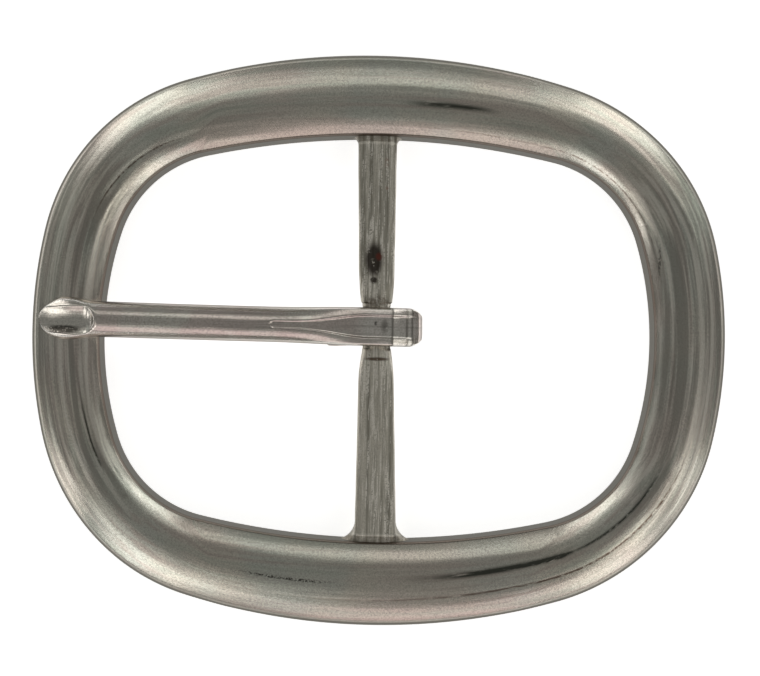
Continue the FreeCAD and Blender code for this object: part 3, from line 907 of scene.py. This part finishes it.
def prongMaterial():
    finish = prongFinish
    shade = Shade("bright nickel prong")
    place = shade.place()
    wall, edge, between = shade.split(shade.layer("zone"))
    patterns = shade.patterns(place, shade.layer("flow"), finish)
    grain, streak = patterns["grain"], patterns["streak"]

    colour = shade.blend(patterns["tint"].between(0.4, 0.62), finish["warm"], finish["metal"])
    # painted highlight: the flat eye lightened
    colour = shade.blend(shade.spot(place, *finish["eye"]) * 0.55, colour, finish["bright"])
    colour = shade.blend(streak.between(0.45, 0.72) * 0.45, colour, finish["dull"])
    colour = shade.blend(grain.between(0.42, 0.68) * 0.35, colour, finish["dull"])
    # painted shade: the strip's sides and the back of the bent end darkened
    colour = shade.blend(wall * 0.75, colour, finish["dull"])
    # painted highlight along the edges of the crown and the foot
    colour = shade.blend(edge * 0.8, colour, finish["bright"])
    # painted shade in the bends between the hammered flats
    colour = shade.blend(between * 0.8, colour, finish["shade"])
    for *blot, strength, tone in finish["blots"]:
        colour = shade.blend(shade.frayed(place, patterns, *blot) * strength, colour, finish[tone])
    pit = shade.frayed(place, patterns, *finish["pit"])
    colour = shade.blend(pit * 0.95, colour, finish["black"])

    roughness = finish["roughness"] + grain * 0.06 + streak * 0.07 + wall * 0.12
    height = grain * 0.4 + streak * 0.6 - pit * 3
    return shade.finish(colour, roughness, height, finish["bump"])


def dress(piece, material, body, node):
    piece.data.materials.append(material)
    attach(piece, body)
    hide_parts(node)
    print("made", piece.name, len(piece.data.polygons), "faces")


dress(makeRim(), rimMaterial(), "frame", "frame_ring")
dress(makeBar(), barMaterial(), "frame", "centre_bar")
dress(makeProng(), prongMaterial(), "prong", "prong")


table = {
    "reach": 600, "gap": 0.02, "squares": 8,
    "greys": [(0, (0.86, 0.86, 0.86)), (1, (0.88, 0.88, 0.88))], "cloudScale": 0.05,
    "roughness": 0.9, "glow": 0.74,
}


def tableMaterial():
    shade = Shade("pale table")
    cloud = shade.noise(shade.place(), table["cloudScale"])
    colour = shade.node("ShaderNodeValToRGB", {"stops": table["greys"]}, {"Fac": cloud})
    top = shade.node("ShaderNodeBsdfPrincipled", None, {
        "Base Color": colour, "Roughness": table["roughness"],
        "Emission Color": (1, 1, 1, 1), "Emission Strength": table["glow"]})
    shade.node("ShaderNodeOutputMaterial", None, {"Surface": top})
    return shade.material


def makeTable():
    squares = table["squares"]
    step = 2 * table["reach"] / squares
    points = [(column * step - table["reach"], row * step - table["reach"], -table["gap"])
              for row in range(squares + 1) for column in range(squares + 1)]
    faces = []
    for row in range(squares):
        for column in range(squares):
            first = row * (squares + 1) + column
            faces.append((first, first + 1, first + squares + 2, first + squares + 1))
    mesh = bpy.data.meshes.new("Table")
    mesh.from_pydata([Vector(place) * mm for place in points], [], faces)
    top = bpy.data.objects.new("Table", mesh)
    bpy.context.scene.collection.objects.link(top)
    top.data.materials.append(tableMaterial())
    print("laid the table")


studio = {
    "ambient": (0.215, 0.215, 0.205, 1),
    "distance": 0.5,  # of every panel from the buckle, in metres
    # compass angle, angle from overhead, width, height, brightness, tint
    "panels": [
        (55, 64, 0.22, 0.30, 1.15, (1.0, 0.98, 0.94)),
        (90, 40, 0.36, 0.16, 0.42, (1.0, 0.99, 0.93)),
        (125, 63, 0.23, 0.30, 1.15, (1.0, 0.99, 0.95)),
        (206, 71, 0.15, 0.20, 1.15, (1.0, 0.96, 0.94)),
        (238, 58, 0.21, 0.25, 1.20, (1.0, 0.97, 0.94)),
        (234, 39, 0.34, 0.15, 0.38, (1.0, 0.95, 0.90)),
        (275, 64, 0.27, 0.30, 0.52, (1.0, 0.84, 0.83)),
        (306, 64, 0.20, 0.26, 1.00, (1.0, 0.95, 0.92)),
        (324, 42, 0.20, 0.18, 0.80, (1.0, 0.97, 0.90)),
        (334, 71, 0.17, 0.20, 0.95, (1.0, 0.99, 0.95)),
        (28, 62, 0.17, 0.28, 0.24, (0.95, 1.0, 0.93)),
        (156, 66, 0.17, 0.24, 0.16, (0.90, 1.0, 0.95)),
    ],
}


def makeStudio():
    world = bpy.data.worlds.new("studio")
    bpy.context.scene.world = world
    world.use_nodes = True
    world.node_tree.nodes["Background"].inputs["Color"].default_value = studio["ambient"]
    for number, (compass, fromTop, width, height, brightness, tint) in enumerate(studio["panels"]):
        data = bpy.data.lights.new("panel%d" % number, "AREA")
        data.shape = "RECTANGLE"
        data.size = width
        data.size_y = height
        data.energy = brightness * 4 * width * height  # the same brightness at any size
        data.color = tint
        lamp = bpy.data.objects.new("panel%d" % number, data)
        bpy.context.scene.collection.objects.link(lamp)
        turn = math.radians(compass)
        lean = math.radians(fromTop)
        way = Vector((math.sin(lean) * math.cos(turn), math.sin(lean) * math.sin(turn), math.cos(lean)))
        lamp.location = way * studio["distance"]
        lamp.rotation_euler = way.to_track_quat("Z", "Y").to_euler()
    print("lit the studio with", len(studio["panels"]), "panels")


view = {"distance": 280, "across": 76.6, "aim": (0.302, 0.101), "roll": 1.2, "sensor": 36}


def makeCamera():
    data = bpy.data.cameras.new("camera")
    data.sensor_width = view["sensor"]
    data.lens = view["sensor"] * view["distance"] / view["across"]
    data.clip_start = 0.01
    camera = bpy.data.objects.new("camera", data)
    bpy.context.scene.collection.objects.link(camera)
    camera.location = Vector((*view["aim"], view["distance"])) * mm
    camera.rotation_euler = (0, 0, math.radians(view["roll"]))
    bpy.context.scene.camera = camera
    print("set the camera", view["distance"], "mm above")


makeTable()
makeStudio()
makeCamera()
bpy.context.scene.view_settings.view_transform = "Standard"
